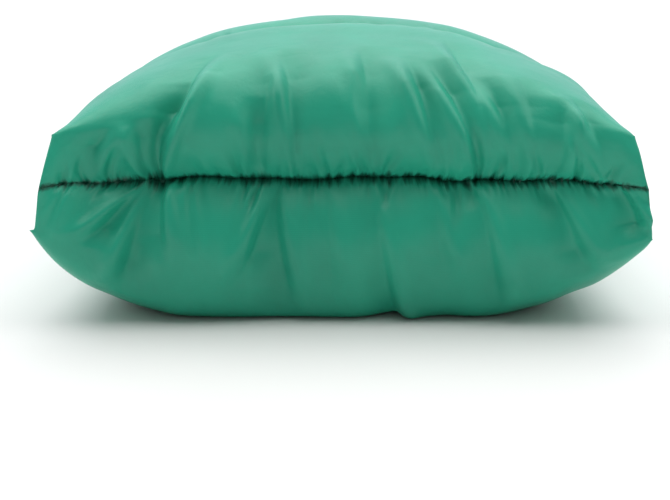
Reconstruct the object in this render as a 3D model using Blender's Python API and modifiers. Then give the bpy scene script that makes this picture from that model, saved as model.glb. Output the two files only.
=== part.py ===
"""Camp pillow: a quilted, boxed nylon cover with a coil zip, round a stuffed inner pillow.

Metres, +Z up. The origin lies on the table under the middle of the pillow. The front is at -Y
and the zip at +Y. Each fabric layer follows one form, cover_point(), at its own inset.
"""

import math

import bmesh
import bpy
from mathutils import Vector

# The cover's form
WIDTH = 0.380  # X, between the seam's corners
DEPTH = 0.285  # Y, between the seam's corners
SEAM_HEIGHT = 0.095  # the perimeter seam's height above the table
BOX_HALF = 0.032  # half the height of a boxed corner
BOX_LEAN = 0.008  # how far a boxed corner leans in from the seam to its end
CROWN_RISE = 0.046  # how far the lining's crown stands above the boxed corners
FRONT_PULL = 0.018  # how far the long sides pull in between their corners
REAR_SLOPE = 0.30  # at most this much of that for each length between the zip's end and the corner
SIDE_PULL = 0.012  # how far the short sides pull in
UNDER_SWELL = 1.10  # the underside's swell to the top's, before the table presses it flat
CORNER_SHARPNESS = 4  # how closely the padding reaches the boxed corners

# Padding and quilting
PUFF_WALL = 0.013  # how far the padding swells the sides outwards
PUFF_FACE = 0.020  # how far it swells the top and the underside
SEAM_ROLL = 0.025  # the padding's full loft is this far from the seam
QUILT_ROLL = 0.045  # and this far from the quilting line

# Fabrics, and the play between neighbours
SHELL = 0.0007
LINING = 0.0006
TICKING = 0.0006
PLAY = 0.0004
SEAM_GAP = 0.0003  # each half of the cover stays this far from the seam's plane
THREAD = 0.0008  # the quilting thread's diameter

# Bound seam allowances, inside the cover
BINDING_WIDTH = 0.008
BINDING_THICK = 0.0012
BINDING_END = 0.016  # from a perimeter binding's end to the corner, and to the zip's opening

# Zip, in the middle of the rear seam
ZIP_LENGTH = 0.200  # between the middles of its stops
ZIP_TAIL = 0.018  # the opening runs on this far past the stops, so the pull lies flat at either end
ZIP_OPENING = 0.0130  # between the cover's two lips
ZIP_RAMP = 0.010  # over which the lips close again past the opening
TAPE_THICK = 0.0006
TAPE_REACH = 0.0120  # from the zip's middle to a tape's far edge
TAPE_END = 0.004  # the tapes run on past the opening
TAPE_SPLIT = 0.0020  # between the two tapes' near edges
COIL_SPLIT = 0.0014  # between the two coils
COIL_WIDTH = 0.0024
COIL_THICK = 0.0016
STOP_LENGTH = 0.003

# Slider and pull tab
SLIDER_LENGTH = 0.010
SLIDER_WIDTH = 0.0090
PLATE_THICK = 0.0009
NECK_THICK = 0.0007
NECK_LENGTH = 0.0030
FLANGE_WIDTH = 0.0008
SLIDER_PLAY = 0.00035
BAIL_RADIUS = 0.00055
BAIL_SPAN = 0.0066
PULL_LENGTH = 0.024
PULL_WIDTH = 0.0080
PULL_THICK = 0.0012
PULL_WINDOW = 0.0048  # the length of the pull's window, past its crossbar
PULL_ARM = 0.0017  # the width of each arm beside the window
PULL_EYE = 0.0018  # the radius of the hole at the free end
PULL_PLAY = 0.0006

# Where each layer lies below the outer surface
BATTING_INSET = SHELL + 2 * PLAY
TAPE_INSET = SHELL + PLAY
LINING_INSET = TAPE_INSET + TAPE_THICK + PLAY
BINDING_INSET = LINING_INSET + LINING + 2 * PLAY
INSERT_DROP = BINDING_INSET
INSERT_INSET = BINDING_INSET + BINDING_WIDTH + PLAY
FILL_STEP = TICKING + 2 * PLAY

# Grid lines of the form, as shares of the half width, the half depth and the boxed wall
ZIP_SHARE = (ZIP_LENGTH / 2 + ZIP_TAIL) / (WIDTH / 2)
STRAIGHT = ZIP_SHARE + ZIP_RAMP / (WIDTH / 2)  # the rear seam is straight up to here
LINES_U = (0, ZIP_SHARE / 3, ZIP_SHARE * 2 / 3, ZIP_SHARE, STRAIGHT, (1 + STRAIGHT) / 2, 1)
LINES_V = (0, 0.10, 0.28, 0.50, 0.72, 0.90, 1)
LINES_W = (1 / 3, 2 / 3)
PAD_START_V = LINES_V[1]
PAD_START_W = LINES_W[0]

REAR_PULL = min(FRONT_PULL, REAR_SLOPE * (1 - STRAIGHT) * WIDTH / 2)
REAR_FACE = DEPTH / 2 - REAR_PULL  # the outer surface of the cover's lips at the zip
TAPE_FACE = REAR_FACE - TAPE_INSET
COIL_FACE = TAPE_FACE + SEAM_GAP + COIL_THICK
SLIDER_X = ZIP_LENGTH / 2 - STOP_LENGTH / 2 - SLIDER_LENGTH / 2 - PLAY
OUTER_PLATE = COIL_FACE + SLIDER_PLAY
HINGE_Y = OUTER_PLATE + PLATE_THICK + PULL_PLAY + PULL_THICK / 2

COLOURS = {
    "shell": ((0.020, 0.290, 0.190), 0.42, 0.0),
    "lining": ((0.030, 0.200, 0.140), 0.60, 0.0),
    "batting": ((0.850, 0.850, 0.830), 0.95, 0.0),
    "ticking": ((0.800, 0.800, 0.770), 0.80, 0.0),
    "binding": ((0.015, 0.180, 0.120), 0.75, 0.0),
    "thread": ((0.015, 0.230, 0.150), 0.55, 0.0),
    "tape": ((0.012, 0.180, 0.120), 0.70, 0.0),
    "coil": ((0.012, 0.160, 0.105), 0.45, 0.0),
    "metal": ((0.090, 0.095, 0.100), 0.35, 0.9),
}


def clear_scene():
    for obj in list(bpy.data.objects):
        bpy.data.objects.remove(obj)


def new_collection(name):
    found = bpy.data.collections.new(name)
    bpy.context.scene.collection.children.link(found)
    return found


def material(slot):
    """The Principled material of one slot, made once."""
    if slot in bpy.data.materials:
        return bpy.data.materials[slot]
    colour, roughness, metallic = COLOURS[slot]
    made = bpy.data.materials.new(slot)
    made.use_nodes = True
    shader = made.node_tree.nodes["Principled BSDF"]
    shader.inputs["Base Color"].default_value = (*colour, 1)
    shader.inputs["Roughness"].default_value = roughness
    shader.inputs["Metallic"].default_value = metallic
    made.diffuse_color = (*colour, 1)
    return made


def add_object(name, data, slot, collection):
    obj = bpy.data.objects.new(name, data)
    obj.data.materials.append(material(slot))
    collection.objects.link(obj)
    return obj


def add_mesh(name, bm, slot, collection):
    mesh = bpy.data.meshes.new(name)
    bm.to_mesh(mesh)
    bm.free()
    return add_object(name, mesh, slot, collection)


# The form of the cover


def shoulder(distance, roll):
    """A quarter circle's rise, from 0 at a seam to 1 at the distance roll from it."""
    return math.sqrt(1 - (1 - min(distance / roll, 1)) ** 2)


def pull_share(share, straight=0.0):
    """How much of its pull a side has at this share of its half length. It has all of it up to straight."""
    past = max(0, (abs(share) - straight) / (1 - straight))
    return 1 - past**2


def lip_height(u, v):
    """Half the gap between the cover's halves: wide at the zip, nearly nothing elsewhere."""
    at_zip = v > 0.999 and abs(u) < ZIP_SHARE + 0.001
    return ZIP_OPENING / 2 if at_zip else SEAM_GAP


def cover_point(u, v, w, side, inset=0.0, drop=0.0, puffed=True, lip=None):
    """A point of the cover's form. u and v run from -1 to 1 over a face, and w from 0 at the seam to 1
    on the face. side is 1 for the upper half and -1 for the lower. inset moves it in from the sides,
    and drop from the face. The lining has no puff."""
    fullness = puffed * shoulder(w * BOX_HALF, SEAM_ROLL) * (1 - abs(u * v) ** CORNER_SHARPNESS)
    out = PUFF_WALL * fullness - BOX_LEAN * w - inset
    x = u * (WIDTH / 2 + out - SIDE_PULL * pull_share(v))
    pull = REAR_PULL * pull_share(u, STRAIGHT) if v > 0 else FRONT_PULL * pull_share(u)
    y = v * (DEPTH / 2 + out - pull)
    foot = lip_height(u, v) if lip is None else lip
    crown = CROWN_RISE * ((1 - u * u) * (1 - v * v)) ** 0.6
    quilted = shoulder(abs(v) * DEPTH / 2, QUILT_ROLL)
    swell = PUFF_FACE * fullness * quilted * w
    if w > 0.999:
        swell += crown
    if side < 0:
        swell *= UNDER_SWELL
    height = foot + (BOX_HALF - drop - foot) * w + swell
    return Vector((x, y, max(SEAM_HEIGHT + side * height, drop)))


def unit_box(low):
    """A box from -1 to 1 in X and Y and from low to 1 in Z, cut along the form's grid lines."""
    bm = bmesh.new()
    bmesh.ops.create_cube(bm, size=2)
    for vertex in bm.verts:
        vertex.co.z = 1 if vertex.co.z > 0 else low
    cuts = [((line, 0, 0), (1, 0, 0)) for share in LINES_U[:-1] for line in {share, -share}]
    cuts += [((0, line, 0), (0, 1, 0)) for share in LINES_V[:-1] for line in {share, -share}]
    cuts += [((0, 0, line), (0, 0, 1)) for share in (0, *LINES_W) for line in {share, -share} if line > low]
    for place, normal in cuts:
        geometry = bm.verts[:] + bm.edges[:] + bm.faces[:]
        bmesh.ops.bisect_plane(bm, geom=geometry, plane_co=place, plane_no=normal)
    return bm


def half_box():
    """The upper half of the unit box, open at the seam's plane."""
    bm = unit_box(0)
    under = [face for face in bm.faces if face.calc_center_median().z < 1e-6]
    bmesh.ops.delete(bm, geom=under, context="FACES")
    return bm


def place(bm, side, **form):
    for vertex in bm.verts:
        u, v, w = vertex.co
        vertex.co = cover_point(u, v, abs(w), side, **form)


def fabric_half(name, slot, side, thick, collection, **form):
    """One half of a fabric layer: an open surface along the form, made solid inwards."""
    bm = half_box()
    bmesh.ops.triangulate(bm, faces=bm.faces, quad_method="FIXED")
    place(bm, side, **form)
    if side < 0:
        bmesh.ops.reverse_faces(bm, faces=bm.faces)
    obj = add_mesh(name, bm, slot, collection)
    obj.data.shade_smooth()
    obj.data.set_sharp_from_angle(angle=math.radians(50))
    solid = obj.modifiers.new("thickness", "SOLIDIFY")
    solid.thickness = thick
    solid.offset = -1
    return obj


def batting(name, side, end, collection):
    """The loose padding of one quilted channel, between the shell and the lining. end is 1 at the rear."""
    bm = half_box()
    outside = []
    for face in bm.faces:
        centre = face.calc_center_median()
        if centre.y * end < PAD_START_V or centre.z < PAD_START_W:
            outside.append(face)
    bmesh.ops.delete(bm, geom=outside, context="FACES")
    bmesh.ops.triangulate(bm, faces=bm.faces, quad_method="FIXED")
    grown = bmesh.ops.extrude_face_region(bm, geom=bm.faces[:], use_keep_orig=True)
    inner = {item for item in grown["geom"] if isinstance(item, bmesh.types.BMVert)}
    below_tape = LINING_INSET - PLAY
    for vertex in bm.verts:
        u, v, w = vertex.co
        deep = vertex in inner
        inset = below_tape if deep else BATTING_INSET
        vertex.co = cover_point(u, v, w, side, inset=inset, drop=inset, puffed=not deep)
    bmesh.ops.recalc_face_normals(bm, faces=bm.faces)
    if bm.calc_volume(signed=True) < 0:
        bmesh.ops.reverse_faces(bm, faces=bm.faces)
    add_mesh(name, bm, "batting", collection)


def insert_fill(collection):
    """The inner pillow's stuffing, one soft solid inside its ticking."""
    form = {"inset": INSERT_INSET + FILL_STEP, "drop": INSERT_DROP + FILL_STEP, "puffed": False, "lip": 0}
    bm = half_box()
    bmesh.ops.triangulate(bm, faces=bm.faces, quad_method="FIXED")
    copied = bmesh.ops.duplicate(bm, geom=bm.verts[:] + bm.edges[:] + bm.faces[:])
    lower = {item for item in copied["geom"] if isinstance(item, bmesh.types.BMVert)}
    for vertex in bm.verts:
        u, v, w = vertex.co
        vertex.co = cover_point(u, v, w, -1 if vertex in lower else 1, **form)
    under = [item for item in copied["geom"] if isinstance(item, bmesh.types.BMFace)]
    bmesh.ops.reverse_faces(bm, faces=under)
    bmesh.ops.remove_doubles(bm, verts=bm.verts, dist=1e-6)
    add_mesh("insert_fill", bm, "batting", collection)


# Thread and bindings


def quilting_thread(name, side, collection):
    """The row of stitching that holds the cover's face down across its middle, from side to side."""
    curve = bpy.data.curves.new(name, "CURVE")
    curve.dimensions = "3D"
    curve.bevel_depth = THREAD / 2
    curve.bevel_resolution = 2
    curve.use_fill_caps = True
    # The shell's facets have corners on the grid's lines, so the thread bends there too.
    shares = [-share for share in reversed(LINES_U[1:-1])] + list(LINES_U[:-1])
    spline = curve.splines.new("POLY")
    spline.points.add(len(shares) - 1)
    for point, share in zip(spline.points, shares):
        seat = cover_point(share, 0, 1, side)
        seat.z += side * (2 * SEAM_GAP + THREAD / 2)
        point.co = (*seat, 1)
    add_object(name, curve, "thread", collection)


def strip(name, rows, collection):
    """A flat binding: rows holds its outer and its inner edge at each step along it."""
    bm = bmesh.new()
    bmesh.ops.create_grid(bm, x_segments=len(rows) - 1, y_segments=1, size=1)
    for vertex in bm.verts:
        step = round((vertex.co.x + 1) / 2 * (len(rows) - 1))
        vertex.co = rows[step][0 if vertex.co.y < 0 else 1]
    obj = add_mesh(name, bm, "binding", collection)
    solid = obj.modifiers.new("thickness", "SOLIDIFY")
    solid.thickness = BINDING_THICK
    solid.offset = 0


def seam_point(u, v, inset):
    """A point in the seam's plane, inset from the outline, which is straight between the grid's lines."""
    along_front = abs(v) == 1
    lines, share = (LINES_U, abs(u)) if along_front else (LINES_V, abs(v))
    low = max(line for line in lines if line <= share)
    high = min(line for line in lines if line > share)
    ends = []
    for line in (low, high):
        grid = (math.copysign(line, u), v) if along_front else (u, math.copysign(line, v))
        ends.append(cover_point(*grid, 0, 1, inset=inset, lip=0))
    return ends[0].lerp(ends[1], (share - low) / (high - low))


def shares_between(first, last, lines):
    """The two ends, and the grid's lines between them."""
    signed = {sign * line for line in lines for sign in (-1, 1)}
    return [first] + sorted(share for share in signed if first < share < last) + [last]


def perimeter_bindings(collection):
    """The bound seam allowances along the sides. At the rear they stop at the zip."""
    last_u = 1 - BINDING_END / (WIDTH / 2)
    last_v = 1 - BINDING_END / (DEPTH / 2)
    first_rear = STRAIGHT + 2 * BINDING_END / WIDTH
    runs = {
        "seam_binding_front": [(u, -1) for u in shares_between(-last_u, last_u, LINES_U)],
        "seam_binding_left": [(-1, v) for v in shares_between(-last_v, last_v, LINES_V)],
        "seam_binding_right": [(1, v) for v in shares_between(-last_v, last_v, LINES_V)],
        "seam_binding_rear_left": [(u, 1) for u in shares_between(-last_u, -first_rear, LINES_U)],
        "seam_binding_rear_right": [(u, 1) for u in shares_between(first_rear, last_u, LINES_U)],
    }
    for name, places in runs.items():
        rows = []
        for u, v in places:
            edge = seam_point(u, v, BINDING_INSET)
            rows.append((edge, seam_point(u, v, BINDING_INSET + BINDING_WIDTH)))
        strip(name, rows, collection)


def corner_bindings(collection):
    """The bound allowances of the cross seams that box the four corners."""
    names = {(-1, -1): "front_left", (1, -1): "front_right", (-1, 1): "rear_left", (1, 1): "rear_right"}
    for (u, v), name in names.items():
        rows = []
        for side, w in ((-1, 0.9), (-1, 0.45), (1, 0), (1, 0.45), (1, 0.9)):
            deep = BINDING_INSET + BINDING_WIDTH / math.sqrt(2)
            outer = cover_point(u, v, w, side, inset=BINDING_INSET + BINDING_THICK, lip=0)
            rows.append((outer, cover_point(u, v, w, side, inset=deep, lip=0)))
        strip("corner_binding_" + name, rows, collection)


# Zip


def bar(name, low, high, slot, collection, bevel=0.0):
    """A rectangular bar between two corners, with its long edges rounded if bevel is given."""
    bm = bmesh.new()
    bmesh.ops.create_cube(bm, size=1)
    for vertex in bm.verts:
        for axis in range(3):
            vertex.co[axis] = high[axis] if vertex.co[axis] > 0 else low[axis]
    obj = add_mesh(name, bm, slot, collection)
    if bevel:
        rounding = obj.modifiers.new("rounding", "BEVEL")
        rounding.width = bevel
        rounding.segments = 2
    return obj


def level_bar(name, x_range, y_range, side, z_range, slot, collection, bevel=0.0):
    """A bar above (side 1) or below (side -1) the zip's middle, z_range being its distances from there."""
    heights = sorted(SEAM_HEIGHT + side * z for z in z_range)
    low = (x_range[0], y_range[0], heights[0])
    high = (x_range[1], y_range[1], heights[1])
    return bar(name, low, high, slot, collection, bevel)


def zip_rows(collection):
    """Tapes, coils and the stops on them, above and below the zip's middle."""
    tape_end = ZIP_LENGTH / 2 + ZIP_TAIL + TAPE_END
    coil_end = ZIP_LENGTH / 2 - STOP_LENGTH / 2 - PLAY
    tape_y = (TAPE_FACE - TAPE_THICK, TAPE_FACE)
    coil_y = (TAPE_FACE + SEAM_GAP, COIL_FACE)
    coil_z = (COIL_SPLIT / 2, COIL_SPLIT / 2 + COIL_WIDTH)
    stop_x = (ZIP_LENGTH / 2 - STOP_LENGTH / 2, ZIP_LENGTH / 2 + STOP_LENGTH / 2)
    for side, name in ((1, "upper"), (-1, "lower")):
        tape_z = (TAPE_SPLIT / 2, TAPE_REACH)
        level_bar("zip_tape_" + name, (-tape_end, tape_end), tape_y, side, tape_z, "tape", collection)
        coil = (-coil_end, coil_end)
        level_bar("zip_coil_" + name, coil, coil_y, side, coil_z, "coil", collection, COIL_THICK / 4)
        level_bar("zip_stop_" + name, stop_x, coil_y, side, coil_z, "metal", collection, COIL_THICK / 4)
    reach = COIL_SPLIT / 2 + COIL_WIDTH
    low = (-stop_x[1], coil_y[0], SEAM_HEIGHT - reach)
    high = (-stop_x[0], coil_y[1], SEAM_HEIGHT + reach)
    bar("zip_bottom_stop", low, high, "metal", collection, COIL_THICK / 4)


def joined(obj, others):
    """obj with the others joined on by a union. They stay behind as hidden helpers."""
    for other in others:
        other.hide_render = True
        other.display_type = "WIRE"
        union = obj.modifiers.new("union", "BOOLEAN")
        union.operation = "UNION"
        union.object = other
    return obj


def slider_body(collection, helpers):
    """Two plates that hold the coils between them, a neck that joins the plates, and the pull's bail."""
    x_range = (SLIDER_X - SLIDER_LENGTH / 2, SLIDER_X + SLIDER_LENGTH / 2)
    half = SLIDER_WIDTH / 2
    inner_plate = TAPE_FACE - TAPE_THICK - SLIDER_PLAY
    low = (x_range[0], OUTER_PLATE, SEAM_HEIGHT - half)
    high = (x_range[1], OUTER_PLATE + PLATE_THICK, SEAM_HEIGHT + half)
    body = bar("zip_slider_body", low, high, "metal", collection)
    low = (x_range[0], inner_plate - PLATE_THICK, SEAM_HEIGHT - half)
    high = (x_range[1], inner_plate, SEAM_HEIGHT + half)
    extras = [bar("slider_inner_plate", low, high, "metal", helpers)]
    # The neck and the flanges reach into the plates, so that the union has clear overlaps.
    low = (x_range[1] - NECK_LENGTH, inner_plate - PLATE_THICK / 2, SEAM_HEIGHT - NECK_THICK / 2)
    high = (x_range[1] - NECK_THICK, OUTER_PLATE + PLATE_THICK / 2, SEAM_HEIGHT + NECK_THICK / 2)
    extras.append(bar("slider_neck", low, high, "metal", helpers))
    flange_y = (TAPE_FACE + SLIDER_PLAY, OUTER_PLATE + PLATE_THICK / 2)
    inset = (x_range[0] + FLANGE_WIDTH, x_range[1] - FLANGE_WIDTH)
    for side in (1, -1):
        span = (half - FLANGE_WIDTH, half - FLANGE_WIDTH / 8)
        extras.append(level_bar(f"slider_flange_{side}", inset, flange_y, side, span, "metal", helpers))
    extras.append(slider_bail(helpers))
    body = joined(body, extras)
    rounding = body.modifiers.new("rounding", "BEVEL")
    rounding.width = PLATE_THICK / 5
    rounding.segments = 1
    rounding.limit_method = "ANGLE"
    rounding.angle_limit = math.radians(60)


def slider_bail(helpers):
    """The low arch on the slider's outer plate that the pull's crossbar turns under."""
    rise = HINGE_Y + PULL_THICK / math.sqrt(2) + PULL_PLAY / 2 + BAIL_RADIUS
    foot = OUTER_PLATE + PLATE_THICK / 2
    half = BAIL_SPAN / 2
    curve = bpy.data.curves.new("slider_bail", "CURVE")
    curve.dimensions = "3D"
    curve.bevel_depth = BAIL_RADIUS
    curve.bevel_resolution = 2
    curve.use_fill_caps = True
    arch = [(-half, foot), (-half, rise - half / 3), (-half * 2 / 3, rise)]
    arch += [(-along, up) for along, up in reversed(arch)]
    spline = curve.splines.new("POLY")
    spline.points.add(len(arch) - 1)
    for point, (along, up) in zip(spline.points, arch):
        point.co = (SLIDER_X + along, up, SEAM_HEIGHT, 1)
    drawn = add_object("slider_bail_curve", curve, "metal", helpers)
    return meshed(drawn, "slider_bail", "metal", helpers)


def meshed(curve_object, name, slot, collection):
    """The curve object's mesh as an object of its own, with its caps welded. The curve is removed."""
    bpy.context.view_layer.update()
    evaluated = curve_object.evaluated_get(bpy.context.evaluated_depsgraph_get())
    mesh = bpy.data.meshes.new_from_object(evaluated)
    bm = bmesh.new()
    bm.from_mesh(mesh)
    bmesh.ops.remove_doubles(bm, verts=bm.verts, dist=1e-6)
    bmesh.ops.recalc_face_normals(bm, faces=bm.faces)
    bm.to_mesh(mesh)
    bm.free()
    mesh.materials.clear()
    obj = add_object(name, mesh, slot, collection)
    obj.matrix_world = curve_object.matrix_world
    bpy.data.objects.remove(curve_object)
    return obj


def outline(curve, points):
    spline = curve.splines.new("POLY")
    spline.points.add(len(points) - 1)
    spline.use_cyclic_u = True
    for point, (x, y) in zip(spline.points, points):
        point.co = (x, y, 0, 1)


def arc(centre, radius, start, end, steps):
    """Points along an arc in the plane, in degrees."""
    angles = [math.radians(start + (end - start) * k / steps) for k in range(steps + 1)]
    return [(centre[0] + radius * math.cos(a), centre[1] + radius * math.sin(a)) for a in angles]


def pull_tab(collection):
    """The pull: a flat tab with a window behind its crossbar, and an eye at its free end.

    It hangs on an empty on the hinge's axis, and its own outline starts at that axis."""
    hinge = bpy.data.objects.new("pull_hinge", None)
    hinge.location = (SLIDER_X, HINGE_Y, SEAM_HEIGHT)
    collection.objects.link(hinge)
    curve = bpy.data.curves.new("zip_pull_tab", "CURVE")
    curve.dimensions = "2D"
    curve.fill_mode = "BOTH"
    curve.extrude = PULL_THICK / 2
    half = PULL_WIDTH / 2
    nose = PULL_THICK / 2
    corner = PULL_WIDTH / 4
    end = PULL_LENGTH - nose
    edge = [(-nose, half - PULL_ARM / 2), (0, half), (end - half, half)]
    edge += arc((end - half, 0), half, 90, -90, 12)[1:]
    edge += [(0, -half), (-nose, -half + PULL_ARM / 2)]
    outline(curve, edge)
    inside = half - PULL_ARM
    window = [(nose, -inside), (nose + PULL_WINDOW - corner / 2, -inside)]
    window += [(nose + PULL_WINDOW, -inside + corner / 2), (nose + PULL_WINDOW, inside - corner / 2)]
    window += [(nose + PULL_WINDOW - corner / 2, inside), (nose, inside)]
    outline(curve, window)
    outline(curve, arc((end - half, 0), PULL_EYE, 0, 330, 11))
    drawn = add_object("pull_outline", curve, "metal", collection)
    # The outline's X runs towards -X, and its Y is upright, so the tab lies flat over the zip.
    drawn.rotation_euler = (math.radians(90), 0, math.radians(180))
    drawn.location = hinge.location
    tab = meshed(drawn, "zip_pull_tab", "metal", collection)
    tab.location = (0, 0, 0)
    tab.parent = hinge


def build():
    clear_scene()
    pillow = new_collection("camp_pillow")
    helpers = new_collection("helpers")
    for side, half in ((1, "top"), (-1, "bottom")):
        fabric_half(half + "_shell", "shell", side, SHELL, pillow)
        inset = {"inset": LINING_INSET, "drop": LINING_INSET, "puffed": False}
        fabric_half(half + "_lining", "lining", side, LINING, pillow, **inset)
        inset = {"inset": INSERT_INSET, "drop": INSERT_DROP, "puffed": False, "lip": SEAM_GAP}
        fabric_half("insert_ticking_" + half, "ticking", side, TICKING, pillow, **inset)
        batting(half + "_front_batting", side, -1, pillow)
        batting(half + "_rear_batting", side, 1, pillow)
        quilting_thread("quilting_thread_" + half, side, pillow)
    insert_fill(pillow)
    perimeter_bindings(pillow)
    corner_bindings(pillow)
    zip_rows(pillow)
    slider_body(pillow, helpers)
    pull_tab(pillow)


build()
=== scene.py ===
"""The camp pillow's visual model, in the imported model's frame, in metres.

The cover is one boxed pillow of cloth. It is cut as a flat pattern, gathered onto its seams, inflated by
a cloth simulation, reshaped as it sags on a table, creased, and split into its upper and lower halves.
"""

import math

import bmesh
import bpy
import numpy as np
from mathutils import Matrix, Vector


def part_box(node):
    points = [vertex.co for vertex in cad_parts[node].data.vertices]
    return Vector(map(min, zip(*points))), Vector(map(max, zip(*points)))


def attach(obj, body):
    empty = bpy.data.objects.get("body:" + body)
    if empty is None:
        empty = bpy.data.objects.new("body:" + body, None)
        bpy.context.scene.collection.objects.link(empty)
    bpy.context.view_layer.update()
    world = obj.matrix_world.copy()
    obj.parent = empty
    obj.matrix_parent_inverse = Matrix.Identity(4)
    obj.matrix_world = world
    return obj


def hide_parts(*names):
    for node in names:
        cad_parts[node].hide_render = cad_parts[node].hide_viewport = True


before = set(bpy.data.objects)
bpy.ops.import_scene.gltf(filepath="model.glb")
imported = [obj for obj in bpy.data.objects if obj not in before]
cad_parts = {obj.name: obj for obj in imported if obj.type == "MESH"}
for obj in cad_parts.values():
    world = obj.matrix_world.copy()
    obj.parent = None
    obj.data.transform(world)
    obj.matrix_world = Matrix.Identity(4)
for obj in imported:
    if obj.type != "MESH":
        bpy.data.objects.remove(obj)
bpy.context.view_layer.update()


# Places and sizes that come from the frame


def low(node):
    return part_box(node)[0]


def high(node):
    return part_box(node)[1]


WIDTH = high("top_shell").x - low("top_shell").x
DEPTH = high("top_shell").y - low("top_shell").y
SEAM_Z = (low("top_shell").z + high("bottom_shell").z) / 2
THREAD_INSET = 0.0014  # the quilting lines lie this far inside the CAD threads' outer sides
QUILT_TOP = high("quilting_thread_top").z - THREAD_INSET
QUILT_BOTTOM = low("quilting_thread_bottom").z + THREAD_INSET
SLIDER_ROOM = 0.002  # between the slider and each lip of the zip's opening
LIP = (high("zip_slider_body").z - low("zip_slider_body").z) / 2 + SLIDER_ROOM
LIP_END = high("zip_tape_upper").x - 0.004  # half the opening's length
REAR_FACE = high("zip_tape_upper").y + 0.0011  # where the cloth lies beside the zip

# The cut pattern: a box whose sides are longer than the form's, so the cloth gathers at its seams
CUT_WIDTH = 0.398
CUT_DEPTH = 0.300
CUT_HEIGHT = 0.078
CELL = 0.0054
WALL_CELLS = round(CUT_HEIGHT / CELL / 2)  # from the seam to the box's upper or lower edge
QUILT_SHARE = 0.97  # the quilting lines end at this share of the half width

# The form that the cloth is sewn to
BOX_HALF = 0.032  # half the height of the boxed sides
FRONT_PULL = 0.018  # how far the middle of the front is drawn in
SIDE_PULL = 0.012
TUCK = 0.007  # the seam lies this far in behind the padding's swell
WALL_ROLL = 0.025  # the swell of a side is full at this distance from the seam
WALL_SWELL = 0.013
TOP_LEAN = 0.012  # how far the upper edge of the box leans in
BOTTOM_LEAN = 0.002
CHANNEL_ROLL = 0.045  # the swell of a channel is full at this distance from the quilting
CHANNEL_SWELL = 0.020
TOP_SLOPE = 0.8  # the crown's power: the lower, the flatter its middle
BOTTOM_SLOPE = 0.6

PRESSURE = 7.0
FRAMES = 30

# How the inflated cover is reshaped, as it would sag under its own weight
EDGE_SOFTNESS = 0.016  # the edges of the box are smoothed about this far over
CORNER_ROOM = 0.035  # and hardly at all nearer than this to a corner
SHOULDER_DROP = 0.26
FRONT_DROP = 0.050
LOBE_SWELL = 0.24
LOBE_SPREAD = 0.028
CORNER_REACH = 0.003
ROLL_IN = 0.010
CONTACT = 0.0022  # the height over which the cloth turns onto the table

# The gathered seam
KNOT = -0.615  # where the front seam is knotted tight, as a share of its half
GATHER_PITCH = 0.0052
GATHER_HEIGHT = 0.0011
GATHER_REACH = 0.0038
GROOVE = 0.0045
CURL = (-0.0026, 0.0, 0.0050)  # how the spare cloth at one lower corner turns out and up
TURNED = 0.003  # how far the cut edges are turned in at the seam
LIP_TURNED = 0.0008  # and at the zip's lips

# How deep the inner layers lie in the cover
LINING_DEEP = 0.014
TICKING_DEEP = 0.020
FILL_DEEP = 0.024
BINDING_DEEP = 0.012
CORNER_BINDING_DEEP = 0.022
BINDING_STEP = 0.006  # between the sections of a binding

# The zip's coils
TOOTH_PITCH = 0.00125
TOOTH_PAST = 0.0003  # how far each side's teeth reach past the middle
TOOTH_WIRE = 0.00030

# Colours and lights
NYLON = (0.018, 0.350, 0.222)
# The colour of the painted shade in the bottom of the seam's groove
GROOVE_PAINTED_SHADE = (0.16, 0.24, 0.22)
WHITE = (1, 1, 1)
WAVE_PERIOD = 0.314159  # of a Wave texture of scale 1
FLOOR_SIZE = 60
WORLD = 0.20
SUN = 3.0
SUN_TILT = 12
SUN_ANGLE = 75
BACK_PANEL = 170
BACK_PANEL_TINT = (0.92, 1.0, 1.18)
BACK_PANEL_SIZE = (12, 5)
BACK_PANEL_PLACE = (0, 6.5, 3.0)
SIDE_PANEL = 20
SIDE_PANEL_SIZE = (2.0, 2.0)
SIDE_PANEL_AWAY = 2.2
SIDE_PANEL_Z = 1.7

# The camera
SENSOR = 36
LENS = 53.73
CAMERA_X = 0.0012
CAMERA_AWAY = 0.6015
CAMERA_Z = 0.2307
CAMERA_DOWN = 16.19
CAMERA_TURN = 0.56

# A point is on a side of the box from this share of its half outwards, and on a middle line within NIL.
EDGE = 0.9999
NIL = 1e-6


# The cover's grid


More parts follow.
